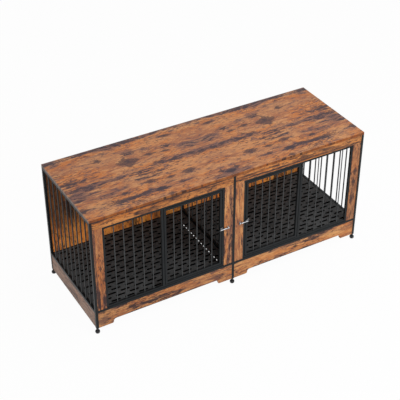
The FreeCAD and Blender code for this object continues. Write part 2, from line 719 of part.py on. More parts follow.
def build_feet():
    """Six levelling feet that turn on stems, and the threaded inserts in the post ends."""
    columns = {"left": "-(half - post_width / 2)", "centre": "0", "right": "half - post_width / 2"}
    lines = {"front": "front + post_width / 2", "back": "back - post_width / 2"}
    inserts = []
    for end, y in lines.items():
        for column, x in columns.items():
            name = f"foot_{end}_{column}"
            round_base = ball(f"{name}_ball", "foot_radius", x, y, "foot_ball_drop")
            bind(round_base, "Angle1", "-asin(foot_ball_drop / foot_radius)")
            bind(round_base, "Angle2", "asin(foot_ball_rise / foot_radius)")
            neck = rod(f"{name}_neck", Z_WAY, "foot_neck_radius", "foot_top - foot_ball_drop", x, y,
                       "foot_ball_drop")
            stem = rod(f"{name}_stem", Z_WAY, "foot_stem_radius", "foot_stem_length", x, y, "foot_top")
            keep(name, fuse(f"{name}_solids", [round_base, neck, stem]))
            body = slab(f"{name}_plug", (f"{x} - insert_half", f"{x} + insert_half"),
                        (f"{y} - insert_half", f"{y} + insert_half"),
                        ("foot_height", "insert_low + insert_length"))
            flange = slab(f"{name}_plate", (f"{x} - post_width / 2", f"{x} + post_width / 2"),
                          (f"{y} - post_width / 2", f"{y} + post_width / 2"), ("insert_low", "foot_height"))
            bore = rod(f"{name}_bore", Z_WAY, "foot_stem_radius + running_clearance",
                       "insert_length + 2 * overrun", x, y, "insert_low - overrun")
            inserts.append(cut(f"{name}_insert", fuse(f"{name}_insert_solids", [body, flange]), [bore]))
    keep("foot_inserts", group("inserts", inserts))


def screw(name, way, x, y, z, bite, sign):
    """A screw with a flat head: its head lies at a place and its shank runs on along an axis."""
    head_start = {"x": x, "y": y, "z": z}
    shank_start = dict(head_start)
    axis = "xyz"[[way.x, way.y, way.z].index(1)]
    if sign < 0:
        head_start[axis] = f"({head_start[axis]}) - tube_wall"
        shank_start[axis] = f"({shank_start[axis]}) - ({bite})"
    head = rod(f"{name}_head", way, "screw_head_radius", "tube_wall", *head_start.values())
    shank = rod(f"{name}_shank", way, "screw_radius", bite, *shank_start.values())
    return fuse(name, [head, shank])


def build_screws():
    """Screws that hold the boards, the front frames and the divider to the steel."""
    board_screws = []
    top_screws = []
    grille_screws = []
    skirt_bite = "post_width + board_screw_bite"
    board_mid = "(board_front + board_rear) / 2"
    for side in SIDES:
        for share in SCREW_SHARES:
            along = spot(side, f"centre_half + (post_in - centre_half) * {share}")
            across = f"front_in + (back_in - front_in) * {share}"
            up = f"sill_top + (head_low - sill_top) * {share}"
            for y in (board_mid, "(panel_front + panel_rear) / 2"):
                board_screws.append(screw("board_screw", Z_WAY, along, y, "rail_top", skirt_bite, -1))
            end_board = spot(side, "half - board_recess - board_thickness / 2")
            board_screws.append(screw("board_screw", Z_WAY, end_board, across, "rail_top", skirt_bite, -1))
            top_screws.append(screw("top_screw", Z_WAY, spot(side, "half - post_width / 2"), across,
                                    "top_low - post_width", "post_width + top_screw_bite", 1))
            outward = 1 if side == "right" else -1
            for tube_edge, way in (("fixed_out", outward), ("open_in + grille_tube", -outward)):
                grille_screws.append(screw("grille_screw", X_WAY, spot(side, tube_edge), board_mid, up,
                                           "grille_tube + grille_screw_bite", way))
    for share in SCREW_SHARES:
        top_screws.append(screw("top_screw", Z_WAY, "0", f"front_in + (back_in - front_in) * {share}",
                                "top_low - grille_tube", "grille_tube + top_screw_bite", 1))
    divider_bolts = []
    for share in BOLT_SHARES:
        up = f"sill_top + (top_low - sill_top) * {share}"
        divider_bolts.append(screw("divider_bolt", Y_WAY, "0", "front_in + grille_tube", up,
                                   "grille_tube + 2 * tube_wall", -1))
        divider_bolts.append(screw("divider_bolt", Y_WAY, "0", "back_in - grille_tube", up,
                                   "grille_tube + 2 * tube_wall", 1))
    keep("board_screws", group("board_screw_group", board_screws))
    keep("top_screws", group("top_screw_group", top_screws))
    keep("grille_screws", group("grille_screw_group", grille_screws))
    keep("divider_bolts", group("divider_bolt_group", divider_bolts))


def build_rail_joints():
    """Bolts and studs through the posts, and the threaded plugs they pull on in the rail ends."""
    nuts = []
    bolts = []
    z = "rail_low + post_width / 2"
    z_range = (f"{z} - insert_half", f"{z} + insert_half")
    for y in ("front + post_width / 2", "back - post_width / 2"):
        y_range = (f"{y} - insert_half", f"{y} + insert_half")
        for side in SIDES:
            for near, far in (("centre_half", "centre_half + rail_nut_length"),
                              ("post_in - rail_nut_length", "post_in")):
                nut_x = span(side, near, far)
                block = slab("rail_nut_block", nut_x, y_range, z_range)
                bore = rod("rail_nut_bore", X_WAY, "rail_bolt_radius + running_clearance",
                           "rail_nut_length + 2 * overrun", f"({nut_x[0]}) - overrun", y, z)
                nuts.append(cut("rail_nut", block, [bore]))
            head = rod("rail_bolt_head", X_WAY, "rail_bolt_head_radius", "rail_bolt_head",
                       bolt_start(side, "post_in + tube_wall", "rail_bolt_head"), y, z)
            shank = rod("rail_bolt_shank", X_WAY, "rail_bolt_radius", "rail_nut_length + tube_wall",
                        span(side, "post_in - rail_nut_length", "post_in + tube_wall")[0], y, z)
            bolts.append(fuse("rail_bolt", [head, shank]))
        bolts.append(rod("rail_stud", X_WAY, "rail_bolt_radius", "post_width + 2 * rail_nut_length",
                         "-centre_half - rail_nut_length", y, z))
    keep("rail_nuts", group("rail_nut_group", nuts))
    keep("rail_bolts", group("rail_bolt_group", bolts))


def build_keeper_screws():
    """Two small screws through each keeper's plate into the stile."""
    screws = []
    for side in SIDES:
        for share in KEEPER_SCREW_SHARES:
            x = spot(side, "(keeper_in + keeper_out) / 2")
            z = f"latch_height + keeper_plate_height * {share}"
            head = rod("keeper_screw_head", Y_WAY, "keeper_screw_radius * 2", "keeper_screw_head", x,
                       "board_front - keeper_plate_thickness - keeper_screw_head", z)
            shank = rod("keeper_screw_shank", Y_WAY, "keeper_screw_radius",
                        "keeper_plate_thickness + keeper_screw_bite", x,
                        "board_front - keeper_plate_thickness", z)
            screws.append(fuse("keeper_screw", [head, shank]))
    keep("keeper_screws", group("keeper_screw_group", screws))


def check_document():
    """Stops if any object failed, or any sub-part is empty or broken."""
    for item in doc.Objects:
        if "Invalid" in item.State or "Error" in item.State:
            raise RuntimeError(f"{item.Label} failed: {item.State}")
    for node, piece in sub_parts.items():
        if piece.Shape.isNull() or not piece.Shape.isValid() or not piece.Shape.Solids:
            raise RuntimeError(f"{node} has no sound shape")


def write_parts():
    """Writes each sub-part to its own file."""
    os.makedirs("parts", exist_ok=True)
    for node, piece in sub_parts.items():
        piece.Shape.exportStep(os.path.join("parts", f"{node}.step"))


def main():
    """Builds the crate and writes its pieces."""
    build_top()
    build_centre_posts()
    build_divider()
    build_floor_frame()
    for side in SIDES:
        build_side_frame(side)
        build_bottom_rails(side)
        build_grille_frame(side)
        build_door(side)
        build_pivots(side)
        build_latch(side)
        build_surround(side)
        build_front_skirt(side)
        build_plain_boards(side)
        build_drip_tray(side)
        build_floor_grid(side)
    build_feet()
    build_screws()
    build_rail_joints()
    build_keeper_screws()
    doc.recompute()
    check_document()
    write_parts()
    solids = sum(len(piece.Shape.Solids) for piece in sub_parts.values())
    print(f"{len(sub_parts)} sub-parts, {solids} solids")


main()
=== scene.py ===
"""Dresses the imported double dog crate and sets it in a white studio.

Every length is in metres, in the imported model's own frame: +X along the crate, the doors face -Y, +Z is up.
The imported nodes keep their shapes. This file gives them finishes and adds the small parts that carry no load:
the weld beads round the bars and the caps over the tool holes.
"""

import logging
import math
from dataclasses import dataclass
from enum import Enum
from typing import Any, Dict, Iterable, List, Optional, Sequence, Tuple, Union

import bmesh
import bpy
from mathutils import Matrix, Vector

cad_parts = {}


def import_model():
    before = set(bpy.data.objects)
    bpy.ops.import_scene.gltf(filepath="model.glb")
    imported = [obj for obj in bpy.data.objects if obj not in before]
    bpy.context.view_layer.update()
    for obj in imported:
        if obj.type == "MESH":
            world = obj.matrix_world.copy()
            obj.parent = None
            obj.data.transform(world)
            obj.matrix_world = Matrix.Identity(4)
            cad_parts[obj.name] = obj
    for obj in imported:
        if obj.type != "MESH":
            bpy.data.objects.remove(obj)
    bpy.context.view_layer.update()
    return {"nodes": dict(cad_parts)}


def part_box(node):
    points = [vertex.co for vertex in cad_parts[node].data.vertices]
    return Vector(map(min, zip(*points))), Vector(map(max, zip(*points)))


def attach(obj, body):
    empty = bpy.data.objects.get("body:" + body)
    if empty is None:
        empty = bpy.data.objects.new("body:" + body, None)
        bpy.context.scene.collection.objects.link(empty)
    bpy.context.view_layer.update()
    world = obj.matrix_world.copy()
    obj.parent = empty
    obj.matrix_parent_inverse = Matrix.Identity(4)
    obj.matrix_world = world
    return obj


LOG = logging.getLogger("dog_crate")
SIDES = ("left", "right")
SIGNS = (-1, 1)
ENDS = ("front", "back")
# The value that noise lies about
NOISE_MIDDLE = 0.5
# The Mix node's sockets for colours, by index because their names aren't unique
MIX_FACTOR = 0
MIX_BELOW = 6
MIX_ABOVE = 7
MIX_RESULT = 2

Colour = Tuple[float, float, float]
Triple = Tuple[float, float, float]
Ring = List[bmesh.types.BMVert]
WHITE: Colour = (1.0, 1.0, 1.0)


class Axis(Enum):
    """The frame's axes, by the names of a vector's components."""

    X = "X"
    Y = "Y"
    Z = "Z"


class Grain(Enum):
    """The axes that a board's print runs along and across."""

    FLAT_X = (Axis.X, Axis.Y)
    UPRIGHT_X = (Axis.X, Axis.Z)
    UPRIGHT_Y = (Axis.Y, Axis.Z)
    RISING_Z = (Axis.Z, Axis.X)


class Lay(Enum):
    """How one colour is laid over another, by the Mix node's names."""

    COVER = "MIX"
    MULTIPLY = "MULTIPLY"


class Surface(Enum):
    """What is read of a surface, by the outputs of the Texture Coordinate node."""

    PLACE = "Object"
    FACING = "Normal"


class Wire:
    """One output socket of a node, with the arithmetic that adds Math nodes."""

    def __init__(self, bench: "Bench", socket: bpy.types.NodeSocket) -> None:
        """Holds a socket and the bench it belongs to."""
        self.bench = bench
        self.socket = socket

    def __add__(self, other: "Value") -> "Wire":
        """Adds a value."""
        return self.bench.work("ADD", self, other)

    def __radd__(self, other: "Value") -> "Wire":
        """Adds to a value."""
        return self.bench.work("ADD", other, self)

    def __sub__(self, other: "Value") -> "Wire":
        """Takes a value away."""
        return self.bench.work("SUBTRACT", self, other)

    def __rsub__(self, other: "Value") -> "Wire":
        """Is taken away from a value."""
        return self.bench.work("SUBTRACT", other, self)

    def __mul__(self, other: "Value") -> "Wire":
        """Multiplies by a value."""
        return self.bench.work("MULTIPLY", self, other)

    def __rmul__(self, other: "Value") -> "Wire":
        """Multiplies a value."""
        return self.bench.work("MULTIPLY", other, self)


Value = Union[Wire, float]


class Bench:
    """A node tree and the one method that adds nodes to it."""

    def __init__(self, tree: bpy.types.NodeTree) -> None:
        """Clears a tree to work on."""
        self.tree = tree
        self.tree.nodes.clear()

    def add(
        self,
        kind: str,
        settings: Optional[Dict[str, Any]] = None,
        sockets: Optional[Dict[Union[int, str], Any]] = None,
        output: Union[int, str] = 0,
    ) -> Wire:
        """Adds a node of any type.

        Args:
            kind: the node's type.
            settings: its properties, set before its sockets.
            sockets: values or wires for its inputs, by index or name.
            output: which output to return.

        Returns:
            The chosen output, or the first input of a node that has no output.
        """
        node = self.tree.nodes.new(kind)
        for key, value in (settings or {}).items():
            setattr(node, key, value)
        for key, value in (sockets or {}).items():
            target = node.inputs[key]
            if isinstance(value, Wire):
                self.tree.links.new(value.socket, target)
            else:
                target.default_value = value
        if not node.outputs:
            return Wire(self, node.inputs[0])
        return Wire(self, node.outputs[output])

    def work(self, operation: str, *values: Value) -> Wire:
        """Works out values with a Math node."""
        return self.add("ShaderNodeMath", {"operation": operation}, dict(enumerate(values)))

    def vector(self, operation: str, *values: Union[Wire, Triple], output: str = "Vector") -> Wire:
        """Works out vectors with a Vector Math node."""
        return self.add("ShaderNodeVectorMath", {"operation": operation}, dict(enumerate(values)), output)

    def part(self, vector: Wire, axis: Axis) -> Wire:
        """Takes one component of a vector."""
        return self.add("ShaderNodeSeparateXYZ", None, {"Vector": vector}, axis.value)

    def surface(self, kind: Surface) -> Wire:
        """Reads the place of the surface or the way it faces."""
        return self.add("ShaderNodeTexCoord", output=kind.value)

    def noise(self, vector: Wire, scale: float, detail: float, roughness: float) -> Wire:
        """Adds cloudy noise by its cycles per unit of the vector, its finer layers and their strength."""
        sockets = {"Vector": vector, "Scale": scale, "Detail": detail, "Roughness": roughness}
        return self.add("ShaderNodeTexNoise", {"noise_dimensions": "3D"}, sockets)

    def blend(self, mask: Value, below: Any, above: Any, lay: Lay = Lay.COVER) -> Wire:
        """Lays one colour over another.

        Args:
            mask: how much of the upper colour shows.
            below: the lower colour.
            above: the upper colour.
            lay: how the colours combine.

        Returns:
            The mixed colour.
        """
        settings = {"data_type": "RGBA", "blend_type": lay.value, "clamp_factor": True}
        sockets = {MIX_FACTOR: mask, MIX_BELOW: opaque(below), MIX_ABOVE: opaque(above)}
        return self.add("ShaderNodeMix", settings, sockets, MIX_RESULT)


def opaque(colour: Any) -> Any:
    """Gives a plain colour its alpha and leaves a wire as it is."""
    return colour if isinstance(colour, Wire) else (*colour, 1.0)


def grey(level: float) -> Colour:
    """A grey as a colour."""
    return (level, level, level)


def shifted(value: Wire, noise: Wire, reach: float) -> Wire:
    """Moves a value up and down with a noise."""
    return value + reach * (noise - NOISE_MIDDLE)


def principled(name: str) -> Tuple[bpy.types.Material, Bench, Wire]:
    """Starts a material.

    Args:
        name: the material's name.

    Returns:
        The material, its bench, and the object coordinates of the surface.
    """
    material = bpy.data.materials.new(name)
    material.use_nodes = True
    bench = Bench(material.node_tree)
    return material, bench, bench.surface(Surface.PLACE)


def close(bench: Bench, sockets: Dict[str, Any]) -> None:
    """Ends a material with its surface shader, whose inputs are given by name."""
    surface = bench.add("ShaderNodeBsdfPrincipled", None, sockets)
    bench.add("ShaderNodeOutputMaterial", None, {"Surface": surface})


@dataclass(frozen=True)
class Step:
    """A soft mask cut from a value: where it is empty, where it is full, and its strength there."""

    empty: float
    full: float
    share: float = 1.0

    def cut(self, bench: Bench, value: Value) -> Wire:
        """Cuts the mask.

        Args:
            bench: the material's bench.
            value: the value to cut it from.

        Returns:
            The mask.
        """
        settings = {"interpolation_type": "SMOOTHSTEP", "clamp": True}
        sockets = {"Value": value, "From Min": self.empty, "From Max": self.full, "To Max": self.share}
        return bench.add("ShaderNodeMapRange", settings, sockets)


@dataclass(frozen=True)
class Cloud:
    """Noise that is alike along every axis: cycles per metre, finer layers and their strength."""

    scale: float
    detail: float
    roughness: float = 0.5

    def read(self, bench: Bench, place: Wire) -> Wire:
        """Reads the noise at a place."""
        return bench.noise(place, self.scale, self.detail, self.roughness)


@dataclass(frozen=True)
class Layer:
    """One layer of noise in a print: cycles per metre along and across the grain, and its fineness."""

    along: float
    across: float
    detail: float
    roughness: float

    def read(self, bench: Bench, place: Wire) -> Wire:
        """Reads the noise at a place in the print."""
        vector = bench.vector("MULTIPLY", place, (self.along, self.across, 1.0))
        return bench.noise(vector, 1.0, self.detail, self.roughness)


@dataclass(frozen=True)
class Relief:
    """The height of a skin's grain and how much of it shows."""

    height: float
    share: float

    def normal(self, bench: Bench, grain: Wire) -> Wire:
        """Turns a grain into a shading normal."""
        sockets = {"Strength": self.share, "Distance": self.height, "Height": grain}
        return bench.add("ShaderNodeBump", None, sockets)


@dataclass(frozen=True)
class Mark:
    """A lozenge in a print: its middle along and across the grain, and its half sizes."""

    along: float
    across: float
    half_length: float
    half_width: float

    def reach(self, bench: Bench, place: Wire) -> Wire:
        """Measures how far a place is from the mark.

        Args:
            bench: the material's bench.
            place: the place in the print.

        Returns:
            The distance, 0 at the mark's middle and 1 at its edge.
        """
        away = bench.vector("SUBTRACT", place, (self.along, self.across, 0.0))
        share = bench.vector("MULTIPLY", away, (1.0 / self.half_length, 1.0 / self.half_width, 0.0))
        share = bench.vector("ABSOLUTE", share)
        return bench.vector("DOT_PRODUCT", share, (1.0, 1.0, 0.0), output="Value")


def nearest(bench: Bench, place: Wire, marks: Sequence[Mark]) -> Wire:
    """Measures how far a place is from the nearest of some marks.

    Args:
        bench: the material's bench.
        place: the place in the print.
        marks: the marks.

    Returns:
        The distance, 0 at a mark's middle and 1 at its edge.
    """
    best = marks[0].reach(bench, place)
    for mark in marks[1:]:
        best = bench.work("MINIMUM", best, mark.reach(bench, place))
    return best


@dataclass(frozen=True)
class Stain:
    """The colours of a print, from its palest streaks to its knots."""

    tan: Colour = (0.58, 0.266, 0.104)
    middle: Colour = (0.34, 0.122, 0.049)
    rust: Colour = (0.47, 0.146, 0.04)
    umber: Colour = (0.125, 0.054, 0.045)
    dark: Colour = (0.03, 0.019, 0.022)


TOP_STAIN = Stain(
    (0.6, 0.285, 0.118), (0.34, 0.122, 0.054), (0.53, 0.165, 0.034), (0.11, 0.062, 0.066),
    (0.03, 0.024, 0.036),
)
WARM_STAIN = Stain((0.7, 0.35, 0.132), (0.43, 0.158, 0.06), (0.52, 0.17, 0.045), (0.19, 0.08, 0.052))
TAWNY_STAIN = Stain((0.64, 0.31, 0.12), (0.37, 0.138, 0.056), (0.48, 0.158, 0.044))
DEEP_STAIN = Stain((0.5, 0.224, 0.092), (0.24, 0.092, 0.043), (0.36, 0.114, 0.036), (0.08, 0.037, 0.031))
RAIL_STAIN = Stain((0.65, 0.266, 0.076), (0.31, 0.106, 0.035), (0.52, 0.155, 0.024), (0.09, 0.038, 0.026))
# Colours for the end faces: the print greyed and paled by a painted sheen, standing in for grazing reflection
# on the ends
END_STAIN_AND_PAINTED_SHEEN = Stain(
    (0.47, 0.275, 0.185), (0.29, 0.158, 0.104), (0.34, 0.15, 0.082), (0.11, 0.066, 0.054),
    (0.05, 0.034, 0.03),
)


@dataclass(frozen=True)
class FaceTint:
    """A colour for the faces that look along an axis: one way if way is 1 or -1, both ways if it is 0.

    With levels, which are heights, the tint also fades up or down the face.
    """

    axis: Axis
    way: int
    colour: Colour
    share: float = 1.0
    lay: Lay = Lay.COVER
    levels: Optional[Step] = None
    facing: Step = Step(0.4, 0.6)

    def tint(self, bench: Bench, colour: Wire) -> Wire:
        """Lays the tint over a colour.

        Args:
            bench: the material's bench.
            colour: the colour of the other faces.

        Returns:
            The tinted colour.
        """
        looks = bench.part(bench.surface(Surface.FACING), self.axis)
        looks = float(self.way) * looks if self.way else looks * looks
        mask = self.share * self.facing.cut(bench, looks)
        if self.levels:
            mask = mask * self.levels.cut(bench, bench.part(bench.surface(Surface.PLACE), Axis.Z))
        return bench.blend(mask, colour, self.colour, self.lay)


@dataclass(frozen=True)
class Tear:
    """How far one layer of a print moves the edges of another."""

    tone: float = 0.5
    blush: float = 0.6
    glow: float = 2.0
    shade: float = 0.7
    band: float = 2.6
    fleck: float = 0.45
    patch: float = 0.5
    patch_in_shade: float = 0.16
    knot: float = 0.9
    mark: float = 2.2


@dataclass(frozen=True)
class KnotRings:
    """The rings inside a placed mark: how tightly they lie, and the mark's mean strength and its swing."""

    waves: float = 8.0
    base: float = 0.86
    swing: float = 0.14


@dataclass(frozen=True)
class PrintedBoard:
    """Board with a printed foil of old brown wood: streaks, bands, ragged patches, flecks and knots."""

    name: str
    grain: Grain
    seed: float
    stain: Stain = Stain()
    marks: Tuple[Mark, ...] = ()
    bands: Tuple[Mark, ...] = ()
    glows: Tuple[Mark, ...] = ()
    mirrored: bool = False
    tints: Tuple[FaceTint, ...] = ()
    roughness: float = 0.48
    shine: float = 0.22
    dark_dulls: float = 0.14
    hair_shines: float = 0.06
    relief: Relief = Relief(0.0003, 0.5)
    # The noise, and how it shapes the print
    wander: Layer = Layer(2.5, 9.0, 2.0, 0.5)
    wander_reach: float = 0.02
    tone: Layer = Layer(3.2, 17.0, 5.0, 0.62)
    streak: Layer = Layer(7.0, 44.0, 6.0, 0.7)
    blush: Layer = Layer(3.6, 18.0, 4.0, 0.6)
    shade: Layer = Layer(3.6, 24.0, 5.0, 0.62)
    mottle: Layer = Layer(19.0, 48.0, 5.0, 0.72)
    ragged: Layer = Layer(20.0, 64.0, 6.0, 0.72)
    crowd: Layer = Layer(2.4, 8.0, 2.0, 0.5)
    fleck: Layer = Layer(36.0, 150.0, 3.0, 0.55)
    hair: Layer = Layer(11.0, 135.0, 4.0, 0.7)
    knot_scale: Triple = (4.2, 9.5, 1.0)
    tear: Tear = Tear()
    rings: KnotRings = KnotRings()
    # Where each colour shows
    tan_step: Step = Step(0.43, 0.57)
    rust_step: Step = Step(0.47, 0.58, 0.8)
    pale_step: Step = Step(0.53, 0.61, 0.7)
    glow_step: Step = Step(1.1, 0.3, 0.45)
    shade_step: Step = Step(0.53, 0.62)
    band_step: Step = Step(1.0, 0.5)
    depth: float = 0.8
    umber_step: Step = Step(0.46, 0.37, 0.85)
    pale_hair: Step = Step(0.53, 0.65, 0.42)
    dark_hair: Step = Step(0.47, 0.35, 0.4)
    fleck_step: Step = Step(0.8, 0.88, 0.8)
    patch_step: Step = Step(0.86, 0.95, 0.85)
    knot_step: Step = Step(0.2, 0.12)
    knot_chance: Step = Step(0.6, 0.65)
    mark_step: Step = Step(1.1, 0.82)
    knot_depth: float = 0.92

    def lay_out(self, bench: Bench, place: Wire) -> Wire:
        """Turns a place on the board into a place in the print.

        Args:
            bench: the material's bench.
            place: the object coordinates.

        Returns:
            The place along and across the grain, with the print's seed as its third value.
        """
        along, across = (bench.part(place, axis) for axis in self.grain.value)
        if self.mirrored:
            along = bench.work("ABSOLUTE", along)
        flat = bench.add("ShaderNodeCombineXYZ", None, {"X": along, "Y": across, "Z": self.seed})
        across = shifted(across, self.wander.read(bench, flat), self.wander_reach)
        return bench.add("ShaderNodeCombineXYZ", None, {"X": along, "Y": across, "Z": self.seed})

    def pale(self, bench: Bench, place: Wire, streak: Wire, mottle: Wire) -> Wire:
        """Mixes the paler colours of the print.

        Args:
            bench: the material's bench.
            place: the place in the print.
            streak: the noise that tears the edges.
            mottle: the noise of the small pale patches.

        Returns:
            The colour.
        """
        stain = self.stain
        tone = (1.0 - self.tear.tone) * self.tone.read(bench, place) + self.tear.tone * streak
        colour = bench.blend(self.tan_step.cut(bench, tone), stain.middle, stain.tan)
        blush = shifted(self.blush.read(bench, place), streak, self.tear.blush)
        colour = bench.blend(self.rust_step.cut(bench, blush), colour, stain.rust)
        colour = bench.blend(self.pale_step.cut(bench, mottle), colour, stain.tan)
        if self.glows:
            edge = shifted(nearest(bench, place, self.glows), streak, self.tear.glow)
            colour = bench.blend(self.glow_step.cut(bench, edge), colour, stain.tan)
        return colour

    def shading(self, bench: Bench, place: Wire, streak: Wire) -> Wire:
        """Mask of the broad dark streaks and the placed bands.

        Args:
            bench: the material's bench.
            place: the place in the print.
            streak: the noise that tears the edges.

        Returns:
            The mask.
        """
        shade = shifted(self.shade.read(bench, place), streak, self.tear.shade)
        shade = self.shade_step.cut(bench, shade)
        if self.bands:
            edge = shifted(nearest(bench, place, self.bands), streak, self.tear.band)
            shade = bench.work("MAXIMUM", shade, self.band_step.cut(bench, edge))
        return shade

    def darks(self, bench: Bench, place: Wire, shade: Wire) -> Wire:
        """Mask of the flecks, ragged patches and knots.

        Args:
            bench: the material's bench.
            place: the place in the print.
            shade: the mask of the broad dark streaks.

        Returns:
            The mask.
        """
        ragged = self.ragged.read(bench, place)
        crowd = self.crowd.read(bench, place)
        flecks = self.fleck_step.cut(bench, self.fleck.read(bench, place) + self.tear.fleck * crowd)
        torn = ragged + self.tear.patch * crowd + self.tear.patch_in_shade * shade
        patches = self.patch_step.cut(bench, torn)
        knots = self.knot_depth * self.knots(bench, place, ragged)
        return bench.work("MAXIMUM", bench.work("MAXIMUM", flecks, patches), knots)

    def knots(self, bench: Bench, place: Wire, ragged: Wire) -> Wire:
        """Mask of the placed marks and of scattered small knots.

        Args:
            bench: the material's bench.
            place: the place in the print.
            ragged: the noise that tears their edges.

        Returns:
            The mask, with rings inside each placed mark.
        """
        stretched = bench.vector("MULTIPLY", place, self.knot_scale)
        sockets = {"Vector": stretched, "Scale": 1.0, "Randomness": 1.0}
        distance = bench.add("ShaderNodeTexVoronoi", {"feature": "F1"}, sockets, "Distance")
        colour = bench.add("ShaderNodeTexVoronoi", {"feature": "F1"}, sockets, "Color")
        chance = bench.add("ShaderNodeSeparateColor", None, {"Color": colour}, "Red")
        torn = shifted(distance, ragged, self.tear.knot)
        small = self.knot_step.cut(bench, torn) * self.knot_chance.cut(bench, chance)
        if not self.marks:
            return small
        reach = shifted(nearest(bench, place, self.marks), ragged, self.tear.mark)
        ring = bench.work("SINE", self.rings.waves * reach)
        placed = self.mark_step.cut(bench, reach) * (self.rings.base + self.rings.swing * ring)
        return bench.work("MAXIMUM", small, placed)

    def make(self) -> bpy.types.Material:
        """Builds the material.

        Returns:
            The material.
        """
        material, bench, place = principled(self.name)
        place = self.lay_out(bench, place)
        streak = self.streak.read(bench, place)
        mottle = self.mottle.read(bench, place)
        hair = self.hair.read(bench, place)
        shade = self.shading(bench, place, streak)
        dark = self.darks(bench, place, shade)
        stain = self.stain
        colour = self.pale(bench, place, streak, mottle)
        colour = bench.blend(self.depth * shade, colour, stain.umber)
        colour = bench.blend(self.umber_step.cut(bench, mottle), colour, stain.umber)
        colour = bench.blend(self.pale_hair.cut(bench, hair), colour, stain.tan)
        colour = bench.blend(self.dark_hair.cut(bench, hair), colour, stain.umber)
        colour = bench.blend(dark, colour, stain.dark)
        for tint in self.tints:
            colour = tint.tint(bench, colour)
        close(bench, {
            "Base Color": colour,
            "Roughness": self.roughness + self.dark_dulls * dark - self.hair_shines * hair,
            "Normal": self.relief.normal(bench, hair - dark),
            "Specular IOR Level": self.shine,
        })
        return material


@dataclass(frozen=True)
class BarPlane:
    """The upright plane that a row of round bars stands in, and how far from it their skin lies."""

    axis: Axis
    line: float
    reach: float


@dataclass(frozen=True)
class PowderCoat:
    """Baked powder coat on steel: nearly black with a fine pebbled skin, with a painted highlight that makes
    the round bars paler.
    """

    name: str
    low: Colour = (0.006, 0.0075, 0.0085)
    high: Colour = (0.0105, 0.0125, 0.014)
    # Painted highlight: a paler colour for the round bars, standing in for the light they catch
    bar_painted_highlight: Colour = (0.055, 0.057, 0.059)
    roughness: float = 0.44
    shine: float = 0.2
    speckle: float = 0.0
    speck: Colour = (0.16, 0.165, 0.17)
    plane: Optional[BarPlane] = None
    # Painted shade: a near-black colour for upright faces, so the slot walls of a floor read as deep shade
    painted_slot_shade: Optional[Colour] = None
    cloud: Cloud = Cloud(14.0, 3.0)
    pebble: Cloud = Cloud(850.0, 2.0)
    specks: Cloud = Cloud(190.0, 2.0, 0.7)
    pebble_share: float = 0.5
    pebble_dulls: float = 0.16
    relief: Relief = Relief(0.0002, 0.6)
    tone_step: Step = Step(0.35, 0.65)
    speck_step: Step = Step(0.54, 0.66)
    upright_step: Step = Step(0.6, 0.3)
    bar_side_step: Step = Step(0.995, 0.97)
    bar_upright_step: Step = Step(0.5, 0.3)

    def make(self) -> bpy.types.Material:
        """Builds the material.

        Returns:
            The material.
        """
        material, bench, place = principled(self.name)
        pebble = self.pebble.read(bench, place)
        tone = (1.0 - self.pebble_share) * self.cloud.read(bench, place) + self.pebble_share * pebble
        colour = bench.blend(self.tone_step.cut(bench, tone), self.low, self.high)
        # Painted highlight on the round bars
        if self.plane:
            colour = bench.blend(self.on_bars(bench, place), colour, self.bar_painted_highlight)
        if self.speckle:
            specks = self.speck_step.cut(bench, self.specks.read(bench, place))
            colour = bench.blend(self.speckle * specks, colour, self.speck)
        # Painted shade in the slots: upright faces go near-black
        if self.painted_slot_shade:
            upward = bench.part(bench.surface(Surface.FACING), Axis.Z)
            colour = bench.blend(self.upright_step.cut(bench, upward * upward), colour, self.painted_slot_shade)
        close(bench, {
            "Base Color": colour,
            "Roughness": self.roughness + self.pebble_dulls * (pebble - NOISE_MIDDLE),
            "Normal": self.relief.normal(bench, pebble),
            "Specular IOR Level": self.shine,
        })
        return material

    def on_bars(self, bench: Bench, place: Wire) -> Wire:
        """Finds the round bars of a frame, which get the painted highlight.

        Args:
            bench: the material's bench.
            place: the object coordinates.

        Returns:
            A mask of the surfaces near the bars' plane that don't face along or up the frame.
        """
        normal = bench.surface(Surface.FACING)
        depth = bench.work("ABSOLUTE", bench.part(place, self.plane.axis))
        near = bench.work("COMPARE", depth, abs(self.plane.line), self.plane.reach)
        sideways = bench.part(normal, Axis.Y if self.plane.axis is Axis.X else Axis.X)
        upward = bench.part(normal, Axis.Z)
        side_mask = self.bar_side_step.cut(bench, sideways * sideways)
        return near * side_mask * self.bar_upright_step.cut(bench, upward * upward)


@dataclass(frozen=True)
class PlatedMetal:
    """Bright plating with faint smears."""

    name: str
    colour: Colour
    worn: Colour
    roughness: float
    smear_dulls: float
    smear: Cloud = Cloud(60.0, 4.0, 0.6)
    fine: Cloud = Cloud(900.0, 2.0)
    relief: Relief = Relief(0.00004, 0.4)
    worn_step: Step = Step(0.45, 0.7)

    def make(self) -> bpy.types.Material:
        """Builds the material.

        Returns:
            The material.
        """
        material, bench, place = principled(self.name)
        smear = self.smear.read(bench, place)
        close(bench, {
            "Base Color": bench.blend(self.worn_step.cut(bench, smear), self.colour, self.worn),
            "Metallic": 1.0,
            "Roughness": self.roughness + self.smear_dulls * smear,
            "Normal": self.relief.normal(bench, self.fine.read(bench, place)),
        })
        return material


